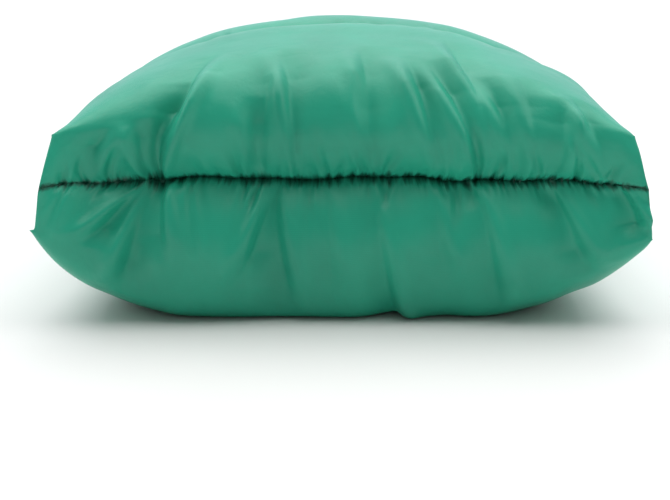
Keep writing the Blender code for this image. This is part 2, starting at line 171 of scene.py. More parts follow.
class Pattern:
    """The boxed cover's grid: a vertex for each (i, j, k) on the box's surface, and its quads.

    u, v and s are each vertex's place along the width, depth and height, from -1 to 1."""

    def __init__(self):
        self.size = np.array((CUT_WIDTH, CUT_DEPTH, CUT_HEIGHT))
        self.count = 2 * np.round(self.size / CELL / 2).astype(int)
        self.index = {}
        self.quads = []
        nx, ny, nz = self.count
        for i in range(nx):
            for j in range(ny):
                self.quad((i, j, nz), (i + 1, j, nz), (i + 1, j + 1, nz), (i, j + 1, nz))
                self.quad((i, j, 0), (i, j + 1, 0), (i + 1, j + 1, 0), (i + 1, j, 0))
        for i in range(nx):
            for k in range(nz):
                self.quad((i, 0, k), (i + 1, 0, k), (i + 1, 0, k + 1), (i, 0, k + 1))
                self.quad((i, ny, k), (i, ny, k + 1), (i + 1, ny, k + 1), (i + 1, ny, k))
        for j in range(ny):
            for k in range(nz):
                self.quad((0, j, k), (0, j, k + 1), (0, j + 1, k + 1), (0, j + 1, k))
                self.quad((nx, j, k), (nx, j + 1, k), (nx, j + 1, k + 1), (nx, j, k + 1))
        self.cells = np.array(list(self.index))
        self.u, self.v, self.s = (2 * self.cells / self.count - 1).T
        self.seam = self.cells[:, 2] == nz // 2
        self.lips = (self.v == 1) & (np.abs(self.cells[:, 2] - nz // 2) <= 1)
        self.lips &= np.abs(self.u) * WIDTH / 2 < LIP_END
        self.quilted = (self.v == 0) & (np.abs(self.s) == 1) & (np.abs(self.u) < QUILT_SHARE)
        self.corners = (np.abs(self.u) == 1) & (np.abs(self.v) == 1) & (np.abs(self.s) == 1)

    def quad(self, *corners):
        self.quads.append(tuple(self.index.setdefault(corner, len(self.index)) for corner in corners))


def bell(distance, wide):
    """1 at distance 0, falling away on both sides over about wide."""
    return np.exp(-((distance / wide) ** 2))


def from_seam(s):
    """How far up or down the box's side a place lies from the seam, on the cut."""
    return np.abs(s) * CUT_HEIGHT / 2


def off_ends(share):
    """1 along most of a side, falling to 0 at its two ends."""
    return 1 - np.abs(share) ** 8


def shoulder(distance, roll):
    """A quarter circle's rise, from 0 at distance 0 to 1 at roll."""
    return np.sqrt(1 - (1 - np.minimum(distance / roll, 1)) ** 2)


def pull_share(share, straight):
    """How much of its pull a side has at this share of its half length."""
    past = np.maximum(0, (np.abs(share) - straight) / (1 - straight))
    return 1 - past**2


def start_form(p):
    """Where the cloth starts: a padded box on its seams, quilted across the middle."""
    w, upper = np.abs(p.s), p.s >= 0
    full = shoulder(w * BOX_HALF, WALL_ROLL) * (1 - np.abs(p.u * p.v) ** 4)
    out = WALL_SWELL * full - np.where(upper, TOP_LEAN, BOTTOM_LEAN) * w
    lip_share = (LIP_END + 0.010) / (WIDTH / 2)
    beside_zip = (p.v > 0) * (np.abs(p.u) < lip_share)
    rear = DEPTH / 2 - (DEPTH / 2 - REAR_FACE) * pull_share(p.u, lip_share)
    front = DEPTH / 2 - FRONT_PULL * pull_share(p.u, 0)
    tuck_x = TUCK * (1 - w) * off_ends(p.v)
    tuck_y = TUCK * (1 - w) * off_ends(p.u) * (1 - beside_zip)
    x = p.u * (WIDTH / 2 + out - SIDE_PULL * pull_share(p.v, 0) - tuck_x)
    y = p.v * (np.where(p.v > 0, rear, front) + out - tuck_y)
    rise = np.where(upper, QUILT_TOP - SEAM_Z, SEAM_Z - QUILT_BOTTOM) - BOX_HALF
    slope = np.where(upper, TOP_SLOPE, BOTTOM_SLOPE)
    crown = rise * np.maximum((1 - p.u**2) * (1 - p.v**2), 0) ** slope * (w > EDGE)
    quilted = shoulder(np.abs(p.v) * DEPTH / 2, CHANNEL_ROLL)
    height = BOX_HALF * w + CHANNEL_SWELL * full * quilted * w + crown
    form = np.stack([x, y, SEAM_Z + np.where(upper, height, -height)], 1)
    form[p.lips, 1] = REAR_FACE
    form[p.lips, 2] = SEAM_Z + LIP * np.sign(p.s[p.lips])
    return form


def pleats(p):
    """How far the cloth's pleats stand out. Each is highest at the seam and dies out over the cloth."""
    chance = np.random.default_rng(11)
    fold = np.zeros(len(p.cells))
    down = from_seam(p.s)
    for along, across, half, other, number in (
        (p.u, p.v, CUT_WIDTH / 2, CUT_DEPTH / 2, 120),
        (p.v, p.u, CUT_DEPTH / 2, CUT_WIDTH / 2, 80),
    ):
        reach = down + (1 - np.abs(across)) * other
        for _ in range(number):
            centre = chance.uniform(-0.93, 0.93) * half
            wide = chance.uniform(0.006, 0.011)
            far = chance.uniform(0.015, 0.060)
            lean = chance.uniform(-0.3, 0.3)
            end = chance.choice([-1, 1])
            face = chance.choice([-1, 1])
            there = (np.sign(across) == end) & (p.s * face >= 0) & (np.abs(across) > 0.2)
            bump = np.exp(-(((along * half - centre - lean * reach) / wide) ** 2) - reach / far)
            rise = chance.uniform(0.0015, 0.0045)
            fold += rise * bump * there * chance.choice([-1, 1], p=[0.7, 0.3])
    return fold


def new_mesh(name, points, quads):
    mesh = bpy.data.meshes.new(name)
    mesh.from_pydata([tuple(point) for point in points], [], quads)
    mesh.update()
    return mesh


def add_object(name, data):
    obj = bpy.data.objects.new(name, data)
    bpy.context.scene.collection.objects.link(obj)
    return obj


def points_of(mesh):
    found = np.empty(len(mesh.vertices) * 3)
    mesh.vertices.foreach_get("co", found)
    return found.reshape(-1, 3)


def normals_of(mesh):
    found = np.empty(len(mesh.vertices) * 3, dtype=np.float32)
    mesh.vertex_normals.foreach_get("vector", found)
    return found.reshape(-1, 3).astype(float)


def inflate(p):
    """The cover's points after its cloth has been blown up on its pinned seams."""
    start = start_form(p)
    flat = np.stack([p.u, p.v, p.s], 1) * p.size / 2
    fold = pleats(p)[:, None]
    pinned = p.seam | p.lips | p.quilted | p.corners
    box = new_mesh("cut", flat, p.quads)
    flat = flat + normals_of(box) * fold
    bpy.data.meshes.remove(box)
    mesh = new_mesh("cloth", start, p.quads)
    start = start + normals_of(mesh) * fold * ~pinned[:, None]
    mesh.vertices.foreach_set("co", start.ravel())
    cloth = add_object("cloth", mesh)
    cloth.shape_key_add(name="start")
    cut = cloth.shape_key_add(name="cut", from_mix=False)
    cut.data.foreach_set("co", flat.ravel())
    cut.value = 0
    pins = cloth.vertex_groups.new(name="pins")
    pins.add([int(n) for n in np.flatnonzero(pinned)], 1, "REPLACE")
    modifier = cloth.modifiers.new("cloth", "CLOTH")
    physics = modifier.settings
    physics.quality = 6
    physics.mass = 0.15
    physics.tension_stiffness = physics.compression_stiffness = 20
    physics.shear_stiffness = 6
    physics.bending_stiffness = 1.0
    physics.tension_damping = physics.compression_damping = physics.shear_damping = 5
    physics.use_pressure = True
    physics.uniform_pressure_force = PRESSURE
    physics.vertex_group_mass = "pins"
    physics.rest_shape_key = cut
    physics.effector_weights.gravity = 0
    modifier.collision_settings.use_collision = False
    modifier.collision_settings.use_self_collision = False
    modifier.point_cache.frame_end = FRAMES
    for moment in range(1, FRAMES + 1):
        bpy.context.scene.frame_set(moment)
    done = cloth.evaluated_get(bpy.context.evaluated_depsgraph_get())
    found = points_of(done.data)
    bpy.context.scene.frame_set(1)
    bpy.data.objects.remove(cloth)
    return found


def smoothed(points, quads, weight, rounds):
    """The points after some rounds of moving each towards its neighbours' mean, by its weight."""
    quads = np.array(quads)
    ends = np.concatenate([quads[:, [0, 1]], quads[:, [1, 2]], quads[:, [2, 3]], quads[:, [3, 0]]])
    count = np.bincount(ends[:, 0], minlength=len(points))[:, None]
    for _ in range(rounds):
        total = np.zeros_like(points)
        np.add.at(total, ends[:, 0], points[ends[:, 1]])
        points = points + (total / count - points) * weight[:, None]
    return points


def sagged(p, points):
    """The cover at rest on a table: soft at its edges, with sunk shoulders and a wide lower lobe."""
    down = from_seam(p.s)
    on_wall = (np.abs(p.u) == 1) | (np.abs(p.v) == 1)
    inset = np.minimum((1 - np.abs(p.u)) * CUT_WIDTH, (1 - np.abs(p.v)) * CUT_DEPTH) / 2
    from_edge = np.where(on_wall, CUT_HEIGHT / 2 - down, inset)
    to_corner = np.hypot((1 - np.abs(p.u)) * CUT_WIDTH / 2, (1 - np.abs(p.v)) * CUT_DEPTH / 2)
    clear_of_corner = np.clip(to_corner / CORNER_ROOM - 0.25, 0, 1)
    weight = 0.7 * bell(from_edge, EDGE_SOFTNESS) * clear_of_corner
    points = smoothed(points, p.quads, weight, 22)
    share = np.clip(down / 0.030, 0, 1)
    z = points[:, 2] - SEAM_Z
    upper = z * (1 - SHOULDER_DROP * np.abs(p.u) ** 4 * (1 - np.abs(p.v) ** 6))
    upper *= 1 - FRONT_DROP * np.clip(-p.v / 0.4, 0, 1) * (1 - p.u**2)
    lower = z * (1 + LOBE_SWELL * (1 - 0.12 * p.u) * share * (1 - np.abs(p.u) ** 6))
    sunk = np.where(p.s >= 0, upper, lower)
    spread = 1 + LOBE_SPREAD * np.abs(p.u) ** 3 * np.clip(-sunk / 0.05, 0, 1)
    tip = CORNER_REACH * np.exp(-to_corner / 0.008) * share
    # Both halves roll in to the seam, except behind, where the zip holds the cloth flat.
    roll = ROLL_IN * bell(down, 0.018)
    roll_x = roll * (np.abs(p.u) == 1) * off_ends(p.v)
    roll_y = roll * (p.v == -1) * off_ends(p.u)
    x = points[:, 0] * spread + np.sign(p.u) * (tip - roll_x)
    return np.stack([x, points[:, 1] + roll_y, SEAM_Z + sunk], 1)


# The finished cover

# The main creases along the front seam. Each has its start and its far end as shares of the seam's half,
# its reach in metres, above the seam or below it if negative, and its depth.
SEAM_SPOTS = (
    (-0.62, -0.53, 0.060, 0.0034),
    (-0.63, -0.66, 0.034, 0.0020),
    (-0.63, -0.80, -0.026, 0.0026),
    (-0.62, -0.71, -0.048, 0.0034),
    (-0.60, -0.58, -0.030, 0.0020),
    (-0.13, -0.20, 0.085, 0.0022),
    (0.32, 0.24, 0.075, 0.0026),
    (0.46, 0.33, 0.072, 0.0024),
    (0.50, 0.40, 0.110, 0.0022),
    (0.69, 0.73, 0.050, 0.0020),
    (-0.23, -0.18, -0.052, 0.0024),
    (0.08, 0.19, -0.075, 0.0024),
    (0.42, 0.51, -0.056, 0.0024),
    (0.66, 0.78, -0.042, 0.0024),
    (0.90, 0.95, -0.030, 0.0030),
    (-0.85, -0.80, 0.030, 0.0020),
    (-0.60, -0.50, 0.088, 0.0020),
    (-0.26, -0.29, 0.042, 0.0016),
    (-0.27, -0.25, 0.078, 0.0014),
    (0.09, 0.05, 0.056, 0.0015),
    (0.10, 0.08, 0.088, 0.0018),
    (0.57, 0.50, 0.062, 0.0022),
    (0.63, 0.62, 0.066, 0.0016),
    (0.88, 0.80, 0.058, 0.0014),
    (-0.20, -0.31, -0.038, 0.0026),
    (-0.06, -0.04, -0.045, 0.0014),
    (0.27, 0.33, -0.040, 0.0018),
)


def refined(p, points):
    """The cover's grid at four times its fineness: its mesh, and where each point lies on the cut."""
    mesh = new_mesh("coarse", points, p.quads)
    place = mesh.attributes.new("place", "FLOAT_VECTOR", "POINT")
    place.data.foreach_set("vector", np.stack([p.u, p.v, p.s], 1).ravel())
    sharp = mesh.attributes.new("crease_vert", "FLOAT", "POINT")
    sharp.data.foreach_set("value", 0.8 * p.corners)
    coarse = add_object("coarse", mesh)
    finer = coarse.modifiers.new("finer", "SUBSURF")
    finer.levels = finer.render_levels = 2
    evaluated = coarse.evaluated_get(bpy.context.evaluated_depsgraph_get())
    fine = bpy.data.meshes.new_from_object(evaluated)
    bpy.data.objects.remove(coarse)
    found = np.empty(len(fine.vertices) * 3, dtype=np.float32)
    fine.attributes["place"].data.foreach_get("vector", found)
    return fine, found.reshape(-1, 3).astype(float)


def crease(along, reach, start, end, length, depth, wide, late=False):
    """The offset of one crease, which runs from the seam at start to end, length away, and fades there.
    A late one is deepest in its outer half, with one steep bank and one that rises slowly."""
    share = reach / length
    run = np.clip(share, 0, 1.3)
    across = (along - (start + (end - start) * run)) / (wide * (0.7 + 1.1 * run))
    if late:
        heading = np.sign(end - start)
        fade = (0.10 + 1.2 * share) * np.clip((1.16 - share) / 0.42, 0, 1) ** 1.3
        valley = -bell(across * np.where(across * heading > 0, 1.8, 0.62), 1)
        ridges = 0.5 * np.exp(-((across - 1.35 * heading) ** 2 * 2.2))
    else:
        fade = np.clip(1.15 - share, 0, 1) ** 1.3
        valley = -bell(across, 1)
        ridges = 0.55 * bell(across - 1.7, 1) + 0.40 * bell(across + 1.8, 1)
    return depth * (valley + ridges) * fade


def front_creases(place, offset):
    """Adds the main creases of the front seam, and the knot, where the cloth sinks around it."""
    u, v, s = place.T
    half = CUT_WIDTH / 2
    front = from_seam(s) + (1 + v) * CUT_DEPTH / 2
    for start, end, reach, depth in SEAM_SPOTS:
        near = (v < -0.1) & (s * reach >= 0) & (np.abs(u) < EDGE)
        near &= (front < abs(reach) * 1.2) & (np.abs(u - (start + end) / 2) < 0.25)
        run = (u[near] * half, front[near], start * half, end * half, abs(reach))
        offset[near] += crease(*run, 2.6 * depth, 0.0058, late=True)
    from_knot = np.hypot((u - KNOT) * CUT_WIDTH / 2, front)
    offset -= 0.0025 * bell(from_knot, 0.006) * (v < -0.9)


def small_creases(place, offset, chance):
    """Adds the small creases that fan out of the seam all round."""
    u, v, s = place.T
    down = from_seam(s)
    for along, across, half, other, number in (
        (u, v, CUT_WIDTH / 2, CUT_DEPTH / 2, 150),
        (v, u, CUT_DEPTH / 2, CUT_WIDTH / 2, 110),
    ):
        for _ in range(number):
            end = chance.choice([-1, 1])
            face = chance.choice([-1, 1])
            start = chance.uniform(-0.95, 0.95)
            reach = 0.007 + 0.050 * chance.random() ** 3
            turn = chance.normal(0, 0.35) * reach / half
            depth = chance.uniform(0.0005, 0.0016) * (0.6 + reach / 0.05)
            wide = chance.uniform(0.0020, 0.0034)
            distance = down + (1 - end * across) * other
            near = (across * end > 0.1) & (s * face >= 0) & (distance < reach * 1.2)
            near &= np.abs(along - start) < 0.04 / half + abs(turn)
            near &= np.abs(along) < EDGE
            run = (along[near] * half, distance[near], start * half, (start + turn) * half, reach)
            offset[near] += crease(*run, depth, wide)


def quilting_puckers(place, offset, chance):
    """Adds the short puckers into which each quilting line draws the cloth on both sides."""
    u, v, s = place.T
    half = CUT_WIDTH / 2
    distance = np.abs(v) * CUT_DEPTH / 2
    for _ in range(120):
        start = chance.uniform(-0.95, 0.95)
        reach = 0.010 + 0.035 * chance.random() ** 2
        turn = chance.normal(0, 0.3) * reach / half
        side = chance.choice([-1, 1])
        face = chance.choice([-1, 1])
        near = (v * side >= 0) & (s == face) & (distance < reach * 1.2)
        near &= np.abs(u - start) < 0.15
        depth = chance.uniform(0.0006, 0.0018)
        wide = chance.uniform(0.0022, 0.0040)
        run = (u[near] * half, distance[near], start * half, (start + turn) * half, reach)
        offset[near] += crease(*run, depth, wide)


def creases(place):
    """Every crease, as an offset along the cloth's normal."""
    chance = np.random.default_rng(23)
    offset = np.zeros(len(place))
    front_creases(place, offset)
    small_creases(place, offset, chance)
    quilting_puckers(place, offset, chance)
    return offset


def soft_waves(place):
    """Slow unevenness of the padding under the cloth, from -1 to 1."""
    chance = np.random.default_rng(5)
    flat = place * (CUT_WIDTH / 2, CUT_DEPTH / 2, CUT_HEIGHT / 2)
    total = np.zeros(len(place))
    for _ in range(26):
        length = chance.uniform(0.028, 0.085)
        heading = chance.normal(size=3)
        heading /= np.linalg.norm(heading)
        phase = chance.uniform(0, 2 * math.pi)
        total += length * np.sin(flat @ heading * 2 * math.pi / length + phase)
    return total / np.abs(total).max()


def settled(points):
    """The points pressed flat against the table, with a soft turn at the edge of the contact."""
    z = points[:, 2]
    pressed = CONTACT * np.exp(np.clip((z - CONTACT) / CONTACT, -8, 0))
    points[:, 2] = np.where(z > CONTACT, z, pressed)
    points[:, 2] -= points[:, 2].min()
    return points


def at_zip(place):
    """Where the cover is open for the zip: between the two lips."""
    u, v, s = place.T
    # One cell of the grid as a share of the half height, and a hundredth to spare
    cell = 2.02 / WALL_CELLS / 2
    return (v > 0.999) & (np.abs(s) < cell) & (np.abs(u) * WIDTH / 2 < LIP_END)


def dress(mesh, place):
    """The cloth's creases, its gathers and the groove of its seam, laid over the sagged form."""
    points = points_of(mesh)
    normals = normals_of(mesh)
    u, v, s = place.T
    down = from_seam(s)
    side_x, side_y = np.abs(u) > EDGE, np.abs(v) > EDGE  # left and right, front and rear
    lips = (v > EDGE) & (np.abs(u) * WIDTH / 2 < LIP_END + 0.004)
    sewn = (side_x | side_y) & ~lips
    # The length along the seam. The left and right are put 1 m off, so that their waves differ.
    along = np.where(side_y, u * CUT_WIDTH / 2, v * CUT_DEPTH / 2 + 1)
    calm = np.where(lips, np.clip((down - 0.004) / 0.012, 0, 1), 1)
    padding = 0.0012 * soft_waves(place) * np.clip(down / 0.01, 0, 1)
    shift = 2.2 * np.sin(along / 0.021)
    gather = np.sin(along / GATHER_PITCH * 2 * math.pi + shift + 1.4 * np.sin(along / 0.0087))
    # Left of the knot the seam gapes a little, and its lips are smooth.
    gape = np.clip((-0.62 - u) / 0.04, 0, 1) * (v < -0.999)
    uneven = 0.5 + 0.5 * np.sin(along / 0.0133 + 3 * np.sin(along / 0.037))
    near_seam = np.exp(-down / GATHER_REACH) * sewn
    offset = creases(place) * calm + padding
    offset += GATHER_HEIGHT * gather * uneven * near_seam * (1 - 0.7 * gape)
    points = points + normals * offset[:, None]
    inward = np.stack([-np.sign(u) * side_x, -np.sign(v) * side_y, 0 * u], 1)
    ends = 1 - np.maximum(np.abs(u) * side_y, np.abs(v) * side_x) ** 12
    groove = GROOVE * np.exp(-((down / (0.0016 + 0.0014 * gape)) ** 1.5)) * sewn
    points = points + inward * (groove * ends)[:, None]
    # The seam wavers, and the spare cloth at one lower corner curls up.
    waver = 0.0011 * np.sin(along / 0.019) + 0.0006 * np.sin(along / 0.0075 + 1)
    points[:, 2] += waver * bell(down, 0.015) * sewn * ends
    from_corner = (place + (1, 1, 1)) * (CUT_WIDTH, CUT_DEPTH, CUT_HEIGHT)
    from_corner = np.linalg.norm(from_corner, axis=1) / 2
    points += bell(from_corner, 0.0055)[:, None] * CURL
    return settled(points)


def turn_in(bm):
    """Turns the cut edges in with a strip of faces, built in the same order each run."""
    edges = [edge for edge in bm.edges if edge.is_boundary]
    inner = {}
    for vertex in (vertex for edge in edges for vertex in edge.verts):
        if vertex not in inner:
            at_lip = abs(vertex.co.z - SEAM_Z) > LIP / 2
            inward = Vector((-vertex.co.x, -vertex.co.y, 0)).normalized()
            turned = vertex.co + inward * (LIP_TURNED if at_lip else TURNED)
            inner[vertex] = bm.verts.new(turned, vertex)
    for edge in edges:
        second = edge.link_loops[0].vert
        first = edge.other_vert(second)
        bm.faces.new((first, second, inner[second], inner[first]))


def panel(name, mesh, place, points, face):
    """One half of the cover, from the seam up (face 1) or down (-1), with its cut edges turned in."""
    corners = np.empty(len(mesh.loops), dtype=np.int32)
    mesh.loops.foreach_get("vertex_index", corners)
    middles = place[corners.reshape(-1, 4)].mean(axis=1)
    spare = (middles[:, 2] * face < 0) | at_zip(middles)
    bm = bmesh.new()
    bm.from_mesh(mesh)
    source = bm.verts.layers.int.new("source")
    for number, (vertex, point) in enumerate(zip(bm.verts, points)):
        vertex.co = point
        vertex[source] = number
    gone = [quad for quad, is_spare in zip(bm.faces, spare) if is_spare]
    bmesh.ops.delete(bm, geom=gone, context="FACES")
    turn_in(bm)
    bmesh.ops.recalc_face_normals(bm, faces=bm.faces)
    top = max(bm.faces, key=lambda quad: quad.calc_center_median().z * face)
    if top.normal.z * face < 0:
        bmesh.ops.reverse_faces(bm, faces=bm.faces)
    made = bpy.data.meshes.new(name)
    bm.to_mesh(made)
    bm.free()
    made.shade_smooth()
    lay_out(made, place)
    return add_object(name, made)


def lay_out(mesh, place):
    """Two UV layers, in metres. The layer cloth is the flat cut. The layer seam holds the length along
    the seam and the distance from it."""
    known = np.empty(len(mesh.vertices), dtype=np.int32)
    mesh.attributes["source"].data.foreach_get("value", known)
    mesh.attributes.remove(mesh.attributes["source"])
    corners = np.empty(len(mesh.loops), dtype=np.int32)
    mesh.loops.foreach_get("vertex_index", corners)
    at = place[known][corners]
    middles = np.repeat(at.reshape(-1, 4, 3).mean(axis=1), 4, axis=0)
    x, y = at[:, 0] * CUT_WIDTH / 2, at[:, 1] * CUT_DEPTH / 2
    down = from_seam(at[:, 2])
    below = CUT_HEIGHT / 2 - down
    side_x = np.abs(middles[:, 0]) > EDGE
    side_y = np.abs(middles[:, 1]) > EDGE
    cloth = np.stack([x + np.sign(x) * below * side_x, y + np.sign(y) * below * side_y], 1)
    to_side = np.minimum(CUT_WIDTH / 2 - np.abs(x), CUT_DEPTH / 2 - np.abs(y))
    away = np.where(side_x | side_y, down, CUT_HEIGHT / 2 + to_side)
    seam = np.stack([np.where(side_x, y + 1, x), away], 1)
    for name, values in (("cloth", cloth), ("seam", seam)):
        layer = mesh.uv_layers.new(name=name)
        layer.data.foreach_set("uv", values.astype(np.float32).ravel())


def inner_layer(name, p, points, face, depth, rounds):
    """A layer inside the cover: its grid drawn in by about depth. Face 0 keeps both halves."""
    centre = np.array((0, 0, SEAM_Z))
    deep = centre + (points - centre) * (1 - depth / np.array((WIDTH / 2, DEPTH / 2, SEAM_Z)))
    share = np.clip(from_seam(p.s) / 0.030 - 0.3, 0, 1)
    deep = smoothed(deep, p.quads, 0.6 * share, rounds)
    quads = np.array(p.quads)
    place = np.stack([p.u, p.v, p.s], 1)
    middles = place[quads].mean(axis=1)
    kept = middles[:, 2] * face >= 0
    if face:
        kept &= ~at_zip(middles)
    used = np.unique(quads[kept])
    renumber = np.full(len(points), -1)
    renumber[used] = np.arange(len(used))
    made = new_mesh(name, deep[used], renumber[quads[kept]].tolist())
    made.shade_smooth()
    obj = add_object(name, made)
    finer = obj.modifiers.new("finer", "SUBSURF")
    finer.levels = finer.render_levels = 1
    return obj


# Smaller pieces


def tube(name, paths, radius):
    """Round threads along the paths, with flat ends."""
    curve = bpy.data.curves.new(name, "CURVE")
    curve.dimensions = "3D"
    curve.bevel_depth = radius
    curve.bevel_resolution = 1
    curve.use_fill_caps = True
    for points in paths:
        spline = curve.splines.new("POLY")
        spline.points.add(len(points) - 1)
        spline.points.foreach_set("co", np.column_stack([points, np.ones(len(points))]).ravel())
    drawn = add_object(name + "_path", curve)
    evaluated = drawn.evaluated_get(bpy.context.evaluated_depsgraph_get())
    mesh = bpy.data.meshes.new_from_object(evaluated)
    bpy.data.objects.remove(drawn)
    mesh.shade_smooth()
    return add_object(name, mesh)


def row_points(points, chosen, key):
    """The chosen points, in order along the key."""
    found = np.flatnonzero(chosen)
    order = np.argsort(key[found])
    return points[found[order]]


def resampled(line, step):
    """The line's points at even steps along it."""
    length = np.concatenate([[0], np.cumsum(np.linalg.norm(np.diff(line, axis=0), axis=1))])
    at = np.linspace(0, length[-1], max(2, int(length[-1] / step)))
    return np.stack([np.interp(at, length, line[:, axis]) for axis in range(3)], 1)


def stitches(name, lines, pitch, radius, lift):
    """Rows of running stitches: each dips into the cloth at its two ends."""
    arch = np.array([-0.6, 0.8, 1.0, 0.8, -0.6]) * lift
    steps = len(arch) + 1  # a stitch and the gap after it
    paths = []
    for line, out in lines:
        even = resampled(line, pitch / steps)
        for first in range(0, len(even) - len(arch), steps):
            paths.append(even[first : first + len(arch)] + arch[:, None] * out)
    return tube(name, paths, radius)


def zip_coil(name, node, side):
    """One side's coil: a filament wound round the tape's edge, pressed flat, one turn to a tooth. The
    two sides' turns reach past the middle and lie between each other."""
    least, most = low(node), high(node)
    if side > 0:
        least.z = SEAM_Z - TOOTH_PAST
    else:
        most.z = SEAM_Z + TOOTH_PAST
        least.x += TOOTH_PITCH / 2
    wire = TOOTH_WIRE
    turns = round((most.x - least.x) / TOOTH_PITCH)
    t = np.linspace(0, turns, turns * 14 + 1)
    angle = t * 2 * math.pi
    middle_y, half_y = (least.y + most.y) / 2, (most.y - least.y) / 2 - wire
    middle_z, half_z = (least.z + most.z) / 2, (most.z - least.z) / 2 - wire
    flat = np.sign(np.cos(angle)) * np.abs(np.cos(angle)) ** 0.6
    x = least.x + wire + (most.x - least.x - 2 * wire) * t / turns
    path = np.stack([x, middle_y + half_y * np.sin(angle), middle_z + side * half_z * flat], 1)
    return tube(name, [path], wire)


def binding_strip(name, lines):
    """The bound seam allowances inside the cover: a folded tape with a rounded edge along each line."""
    half = [(0.000, 0.0006), (0.0040, 0.0007), (0.0075, 0.0007)]
    profile = half + [(0.0082, 0.0)] + [(deep, -thick) for deep, thick in reversed(half)]
    count = len(profile)
    bm = bmesh.new()
    for line, inward, across in lines:
        rows = []
        for point, deep, thick in zip(line, inward, across):
            rows.append([bm.verts.new(Vector(point + deep * a + thick * b)) for a, b in profile])
        for first, second in zip(rows, rows[1:]):
            for k in range(count):
                after = (k + 1) % count
                bm.faces.new((first[k], first[after], second[after], second[k]))
        bm.faces.new(rows[0][::-1])
        bm.faces.new(rows[-1])
    bmesh.ops.recalc_face_normals(bm, faces=bm.faces)
    mesh = bpy.data.meshes.new(name)
    bm.to_mesh(mesh)
    bm.free()
    mesh.shade_smooth()
    return add_object(name, mesh)


# Materials


def link(tree, source, output, target, socket):
    tree.links.new(source.outputs[output], target.inputs[socket])


def add_node(tree, kind, **values):
    """A node, with its sockets or its own settings set by name."""
    node = tree.nodes.new(kind)
    for name, value in values.items():
        if name in node.inputs:
            node.inputs[name].default_value = value
        else:
            setattr(node, name, value)
    return node


def set_sockets(node, values):
    for name, value in values.items():
        node.inputs[name].default_value = value


def noise_node(tree, source, output, **values):
    """A noise over the source's output."""
    node = add_node(tree, "ShaderNodeTexNoise", **values)
    link(tree, source, output, node, "Vector")
    return node


def math_node(tree, operation, *operands):
    """A Math node. Its operands are numbers, or (node, output) pairs."""
    node = tree.nodes.new("ShaderNodeMath")
    node.operation = operation
    for socket, operand in zip(node.inputs, operands):
        if isinstance(operand, tuple):
            tree.links.new(operand[0].outputs[operand[1]], socket)
        else:
            socket.default_value = operand
    return node


def range_node(tree, source, output, values):
    """A Map Range node over the source's output, with the ends given."""
    node = tree.nodes.new("ShaderNodeMapRange")
    set_sockets(node, values)
    link(tree, source, output, node, "Value")
    return node


def new_material(name):
    made = bpy.data.materials.new(name)
    made.use_nodes = True
    return made, made.node_tree, made.node_tree.nodes["Principled BSDF"]


def ramp_node(tree, source, output, stops):
    """A colour ramp over the source's output, with (position, colour) stops."""
    node = tree.nodes.new("ShaderNodeValToRGB")
    ramp = node.color_ramp
    while len(ramp.elements) < len(stops):
        ramp.elements.new(0.5)
    for element, (position, colour) in zip(ramp.elements, stops):
        element.position = position
        element.color = (*colour, 1)
    link(tree, source, output, node, "Fac")
    return node


def bump_node(tree, height, strength, distance, below=None):
    """A bump of this height, over the bump below it."""
    node = add_node(tree, "ShaderNodeBump", Strength=strength, Distance=distance)
    tree.links.new(height[0].outputs[height[1]], node.inputs["Height"])
    if below:
        link(tree, below, "Normal", node, "Normal")
    return node


def plain_weave(tree, vector, pitch):
    """The height of a plain weave: warp and weft threads at this pitch, over and under each other."""
    waves = []
    for direction in ("X", "Y"):
        wave = add_node(tree, "ShaderNodeTexWave", Scale=WAVE_PERIOD / pitch, Distortion=0.0)
        wave.bands_direction = direction
        tree.links.new(vector[0].outputs[vector[1]], wave.inputs["Vector"])
        waves.append(wave)
    return math_node(tree, "MULTIPLY", (waves[0], "Fac"), (waves[1], "Fac"))


def multiplied(tree, first, second):
    """The two ramps' colours multiplied: the Mix node, whose colour output is number 2."""
    mix = add_node(tree, "ShaderNodeMix", data_type="RGBA", blend_type="MULTIPLY")
    mix.inputs[0].default_value = 1
    link(tree, first, "Color", mix, 6)
    link(tree, second, "Color", mix, 7)
    return mix


def shaded(colour, factor):
    return tuple(part * factor for part in colour)


